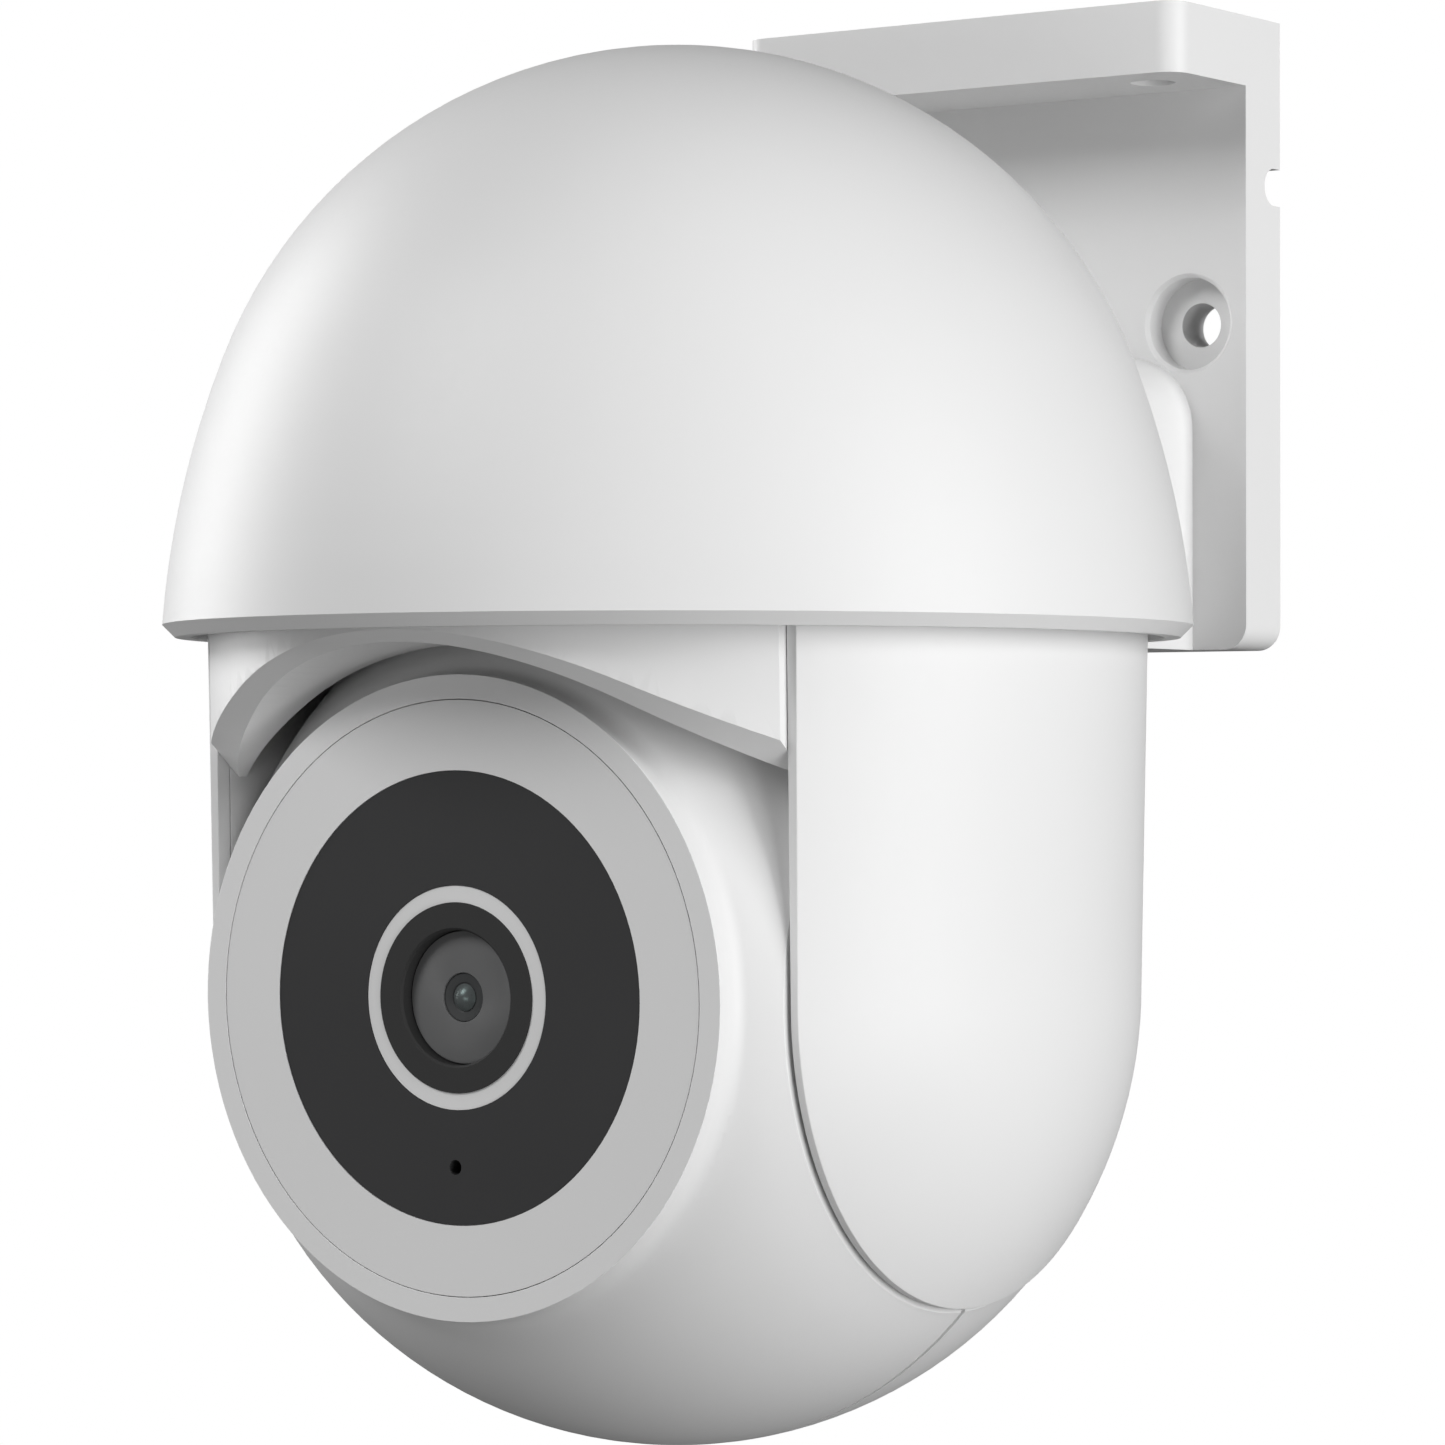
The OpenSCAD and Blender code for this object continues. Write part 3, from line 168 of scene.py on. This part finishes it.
def board_finish(name):
    """Green solder mask over copper traces that run in straight lines."""
    mat, tree, shader = new_material(name)
    bricks = tree.nodes.new("ShaderNodeTexBrick")
    bricks.inputs["Scale"].default_value = 260.0
    bricks.inputs["Mortar Size"].default_value = 0.035
    bricks.inputs["Color1"].default_value = (0.012, 0.10, 0.045, 1.0)
    bricks.inputs["Color2"].default_value = (0.016, 0.125, 0.055, 1.0)
    bricks.inputs["Mortar"].default_value = (0.05, 0.24, 0.11, 1.0)
    tree.links.new(object_coords(tree), bricks.inputs["Vector"])
    tree.links.new(bricks.outputs["Color"], shader.inputs["Base Color"])
    relief(tree, shader, bricks.outputs["Fac"], 0.3, TRACE_DEPTH)
    uneven_gloss(tree, shader, noise(tree, 900.0, 2.0), 0.25, 0.4)
    return mat


def smoked(name):
    """Smoked window: nearly black, satin, with a very faint drift."""
    mat, tree, shader = new_material(name)
    drifting_colour(tree, shader, noise(tree, 60.0, 2.0),
                    (0.040, 0.040, 0.041), (0.045, 0.045, 0.046))
    uneven_gloss(tree, shader, noise(tree, 2600.0, 2.0, 0.5), 0.5, 0.6)
    shader.inputs["Specular IOR Level"].default_value = 0.12
    return mat


def coated_glass(name, tint):
    """Clear coated glass with a faint tint."""
    mat, tree, shader = new_material(name)
    low = tuple(c * GLASS_SHADE for c in tint)
    drifting_colour(tree, shader, noise(tree, 80.0, 2.0), low, tint)
    shader.inputs["Transmission Weight"].default_value = 1.0
    shader.inputs["Roughness"].default_value = 0.02
    shader.inputs["IOR"].default_value = 1.5
    shader.inputs["Coat Weight"].default_value = 0.3
    shader.inputs["Coat Roughness"].default_value = 0.03
    return mat


def turned_disc(name):
    """Satin grey disc whose fine concentric turning marks stretch its highlights."""
    mat, tree, shader = new_material(name)
    drifting_colour(tree, shader, noise(tree, 120.0, 3.0),
                    (0.135, 0.136, 0.137), (0.15, 0.151, 0.152))
    uneven_gloss(tree, shader, noise(tree, 2400.0, 2.0, 0.5), 0.3, 0.38)
    tangent = tree.nodes.new("ShaderNodeTangent")
    tangent.direction_type = "RADIAL"
    tangent.axis = "Y"
    tree.links.new(tangent.outputs["Tangent"], shader.inputs["Tangent"])
    shader.inputs["Anisotropic"].default_value = 0.7
    shader.inputs["Specular IOR Level"].default_value = 0.4
    return mat


def dark_glass(name):
    """Coated front element: nearly black with a faint teal bloom and a soft highlight."""
    mat, tree, shader = new_material(name)
    drifting_colour(tree, shader, noise(tree, 300.0, 2.0), (0.08, 0.09, 0.09), (0.10, 0.11, 0.11))
    uneven_gloss(tree, shader, noise(tree, 900.0, 2.0, 0.5), 0.26, 0.32)
    shader.inputs["Specular IOR Level"].default_value = 0.6
    shader.inputs["Specular Tint"].default_value = (0.75, 1.0, 0.97, 1.0)
    return mat


white = moulded("white_moulded", (0.72, 0.72, 0.72), specular=0.35)
rubber = moulded("black_rubber", (0.02, 0.02, 0.02), rough=(0.65, 0.8), grain=0.25, grain_mm=0.4)
nylon = moulded("black_nylon", (0.03, 0.03, 0.032), rough=(0.35, 0.5))

SLOT_FINISH = {
    "white_shell": white,
    "inner_plastic": moulded("inner_grey", (0.30, 0.31, 0.32), rough=(0.45, 0.6), grain_mm=0.3),
    "face_ring": moulded("face_moulded", (0.70, 0.70, 0.70), rough=(0.5, 0.58), specular=0.25),
    "smoked_window": smoked("smoked_window"),
    "black_plastic": moulded("black_moulded", (0.037, 0.037, 0.037), rough=(0.5, 0.62),
                             specular=0.12),
    "lens_glass": coated_glass("lens_glass", (0.86, 0.92, 0.92)),
    "rubber": rubber,
    "grey_rubber": rubber,
    "screw_steel": metal("plated_screws", (0.62, 0.62, 0.62)),
    "bearing_steel": metal("ground_steel", (0.68, 0.68, 0.69), rough=(0.12, 0.22)),
    "turned_steel": metal("turned_steel", (0.52, 0.52, 0.53), brushed=(1.0, 1.0, 20.0)),
    "motor_can": metal("motor_can_steel", (0.58, 0.58, 0.56), brushed=(2.0, 2.0, 14.0)),
    "gear_plastic": moulded("natural_acetal", (0.72, 0.70, 0.64), rough=(0.3, 0.4)),
    "circuit_board": board_finish("solder_mask"),
    "copper_trace": metal("plated_copper", (0.78, 0.48, 0.2), rough=(0.2, 0.3)),
    "lamp_epoxy": moulded("lamp_resin", (0.62, 0.65, 0.68), rough=(0.08, 0.14), grain=0.02),
    "heat_sink": metal("anodised_fins", (0.66, 0.67, 0.68), rough=(0.3, 0.45)),
    "speaker_body": moulded("speaker_paper", (0.03, 0.03, 0.033), rough=(0.6, 0.9), grain=0.6,
                            grain_mm=0.7),
    "card_plastic": nylon,
    "red_button": moulded("red_moulded", (0.5, 0.03, 0.02), rough=(0.3, 0.4)),
    "filter_slide": moulded("filter_slide_tint", (0.16, 0.03, 0.05), rough=(0.15, 0.25)),
    "bush_plastic": nylon,
}
# Nodes whose finish differs from the rest of their slot
NODE_FINISH = {
    "lens_barrel": moulded("anodised_black", (0.012, 0.012, 0.013), rough=(0.3, 0.42),
                           specular=0.4),
    "yoke_frame": white,
}

slot_of = {s["node"]: s["material_slot"] for s in frame["record"]["subparts"]}
for name, node in nodes.items():
    node.data.materials.clear()
    node.data.materials.append(NODE_FINISH.get(name) or SLOT_FINISH[slot_of[name]])


def finish_piece(obj, body, material):
    """Gives a new piece its finish, and lets it ride on its body."""
    obj.data.materials.clear()
    obj.data.materials.append(material)
    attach(obj, body)
    return obj


# ---------- refined shells ----------

SAME_POINT = 1e-6                       # vertices nearer than this, in metres, are one
FLAT_WITHIN = math.radians(0.05)        # faces that turn less than this are joined
SHARP_FROM = math.radians(32.0)         # edges that turn more than this are rounded
ROUND_SEGMENTS = 2
NORMAL_WEIGHT = 50

# Width of the rounding on each shell, in millimetres
SHELL_ROUNDING = {
    "dome_cover": 0.3, "wall_bracket": 0.15, "yoke_front": 0.12, "yoke_rear": 0.12,
    "arm_cover_left": 0.22, "arm_cover_right": 0.22, "head_front": 0.2, "head_rear": 0.15,
    "service_cover": 0.1,
}


def body_of_node(name):
    return nodes[name].parent.name[len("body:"):]


def cleaned_copy(name):
    """A smooth-shaded copy of a CAD node's mesh, with its flat faces whole again."""
    mesh = nodes[name].data.copy()
    work = bmesh.new()
    work.from_mesh(mesh)
    bmesh.ops.remove_doubles(work, verts=work.verts, dist=SAME_POINT)
    bmesh.ops.dissolve_limit(work, angle_limit=FLAT_WITHIN, verts=work.verts, edges=work.edges)
    work.to_mesh(mesh)
    work.free()
    mesh.shade_smooth()
    return mesh


def rounded(name, width_mm):
    """A copy of a CAD node whose sharp edges are rounded, which stands for the node."""
    obj = new_object(name + "_surface", cleaned_copy(name))
    bevel = obj.modifiers.new("round", "BEVEL")
    bevel.width = width_mm * MM
    bevel.segments = ROUND_SEGMENTS
    bevel.limit_method = "ANGLE"
    bevel.angle_limit = SHARP_FROM
    bevel.use_clamp_overlap = True
    even = obj.modifiers.new("even", "WEIGHTED_NORMAL")
    even.mode = "FACE_AREA"
    even.weight = NORMAL_WEIGHT
    even.keep_sharp = False
    graph = bpy.context.evaluated_depsgraph_get()
    made = bpy.data.meshes.new_from_object(obj.evaluated_get(graph))
    obj.modifiers.clear()
    obj.data = made
    made.name = name + "_surface"
    finish_piece(obj, body_of_node(name), SLOT_FINISH[slot_of[name]])
    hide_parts(name)
    return obj


for name, width in SHELL_ROUNDING.items():
    rounded(name, width)


# ---------- lens ----------

BALL = Vector((0.0, -0.0826, -0.0782))  # where the pan axis and the tilt axis meet, in metres
TURN_STEPS = 160                        # straight sides that make one turned circle
TURN_CREASE = math.radians(30.0)        # turned edges that turn more than this stay sharp
CROWN_STEPS = 14                        # profile steps from the front element's edge to its crown


def circle(work, radius, depth):
    """Vertices that one profile point makes: a circle, or a single one on the axis."""
    if radius == 0:
        return [work.verts.new((0.0, -depth * MM, 0.0))]
    turns = [2 * math.pi * k / TURN_STEPS for k in range(TURN_STEPS)]
    return [work.verts.new((radius * MM * math.cos(a), -depth * MM, radius * MM * math.sin(a)))
            for a in turns]


def turned_piece(name, profile, body, material):
    """Solid of revolution round the lens axis. The profile runs from the axis, round, and back to
    it, as (radius, distance in front of the pan axis) in millimetres."""
    mesh = bpy.data.meshes.new(name)
    work = bmesh.new()
    circles = [circle(work, radius, depth) for radius, depth in profile]
    for near, far in zip(circles, circles[1:]):
        for k in range(TURN_STEPS):
            after = (k + 1) % TURN_STEPS
            if len(near) == 1:
                work.faces.new((near[0], far[k], far[after]))
            elif len(far) == 1:
                work.faces.new((near[k], far[0], near[after]))
            else:
                work.faces.new((near[k], far[k], far[after], near[after]))
    bmesh.ops.recalc_face_normals(work, faces=work.faces)
    work.to_mesh(mesh)
    work.free()
    mesh.shade_smooth()
    mesh.set_sharp_from_angle(angle=TURN_CREASE)
    obj = new_object(name, mesh)
    obj.location = BALL
    return finish_piece(obj, body, material)


def crown(radius, edge, top):
    """Profile of a shallow dome, from its edge to its top on the axis."""
    points = []
    for k in range(CROWN_STEPS + 1):
        r = radius * (1 - k / CROWN_STEPS)
        points.append((r, top - (top - edge) * (r / radius) ** 2))
    return points


DISC_PROFILE = [(0, 37.5), (7.04, 37.5), (7.04, 39.05), (7.0, 39.12), (6.9, 39.15),
                (2.75, 39.32), (2.66, 39.3), (2.6, 39.2), (2.6, 38.6), (0, 38.6)]
STOP_PROFILE = [(0, 38.62), (2.56, 38.62), (2.56, 39.06), (2.5, 39.12), (1.62, 39.0),
                (1.5, 38.9), (0, 38.9)]
ELEMENT_PROFILE = [(0, 38.92), (1.4, 38.92)] + crown(1.45, 39.0, 39.75)

disc = turned_piece("lens_disc", DISC_PROFILE, "head",
                    turned_disc("lens_disc_finish"))
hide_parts("lens_glass")
turned_piece("lens_stop", STOP_PROFILE, "head",
             moulded("lens_stop_black", (0.055, 0.057, 0.058), rough=(0.35, 0.42), specular=0.3))
turned_piece("lens_front_element", ELEMENT_PROFILE, "head",
             dark_glass("lens_front_glass"))


# ---------- floor and camera ----------

FLOOR_Z = -2.6
FLOOR_RADIUS = 2.0
FLOOR_SIDES = 64
CAMERA_PLACE = Vector((0.34364, -0.56591, -0.05467))
CAMERA_PITCH = math.radians(90.569)     # from straight down, so 90 is level
CAMERA_TURN = math.radians(34.934)      # from looking along +Y, towards -X
FOCAL_MM = 131.94
SENSOR_MM = 36.0
CLIP_START = 0.01

floor_mesh = bpy.data.meshes.new("floor")
work = bmesh.new()
bmesh.ops.create_circle(work, cap_ends=True, segments=FLOOR_SIDES, radius=FLOOR_RADIUS)
work.to_mesh(floor_mesh)
work.free()
floor = new_object("floor", floor_mesh)
floor.location = (0.0, 0.0, FLOOR_Z)
floor_mesh.materials.append(moulded("floor_pale", (0.8, 0.8, 0.79), rough=(0.6, 0.8)))

cam_data = bpy.data.cameras.new("camera")
cam_data.lens = FOCAL_MM
cam_data.sensor_width = SENSOR_MM
cam_data.clip_start = CLIP_START
cam = new_object("camera", cam_data)
cam.location = CAMERA_PLACE
cam.rotation_euler = (CAMERA_PITCH, 0.0, CAMERA_TURN)
scene.camera = cam


# ---------- light ----------

LIT_POINT = Vector((0.0, -0.075, -0.06))    # every lamp faces this point

# Name, width, height, power in watts, and place
LAMPS = [
    ("right", 0.7, 1.1, 14.8, (1.3, 0.0, 0.15)),
    ("right_front", 0.7, 1.1, 3.0, (1.25, -0.45, 0.15)),
    ("left_high", 0.7, 0.7, 12.0, (-0.55, -1.15, 0.8)),
    ("left_rim", 0.6, 1.1, 13.0, (-1.3, -0.12, 0.3)),
    ("front_low", 0.6, 0.4, 3.2, (0.2, -1.5, -0.35)),
    ("right_low", 0.6, 0.6, 4.2, (1.2, -0.5, -0.55)),
    ("top", 0.9, 0.9, 0.8, (0.1, -0.3, 1.4)),
]
AMBIENT = 0.03
BACKDROP = (1.0, 1.0, 1.0, 1.0)


def area_light(name, width, height, power, place):
    """A soft rectangular lamp that faces the object."""
    data = bpy.data.lights.new(name, "AREA")
    data.shape = "RECTANGLE"
    data.size = width
    data.size_y = height
    data.energy = power
    lamp = new_object(name, data)
    lamp.location = place
    lamp.rotation_euler = (LIT_POINT - Vector(place)).to_track_quat("-Z", "Y").to_euler()


for lamp_row in LAMPS:
    area_light(*lamp_row)

# The camera sees a white backdrop, and the object gets only a little light from all round
world = bpy.data.worlds.new("studio")
scene.world = world
world.use_nodes = True
tree = world.node_tree
tree.nodes.clear()
out = tree.nodes.new("ShaderNodeOutputWorld")
mix = tree.nodes.new("ShaderNodeMixShader")
seen = tree.nodes.new("ShaderNodeBackground")
lit = tree.nodes.new("ShaderNodeBackground")
path = tree.nodes.new("ShaderNodeLightPath")
seen.inputs["Color"].default_value = BACKDROP
lit.inputs["Color"].default_value = BACKDROP
lit.inputs["Strength"].default_value = AMBIENT
tree.links.new(path.outputs["Is Camera Ray"], mix.inputs["Fac"])
tree.links.new(lit.outputs["Background"], mix.inputs[1])
tree.links.new(seen.outputs["Background"], mix.inputs[2])
tree.links.new(mix.outputs["Shader"], out.inputs["Surface"])

scene.view_settings.view_transform = "Standard"
scene.view_settings.look = "None"
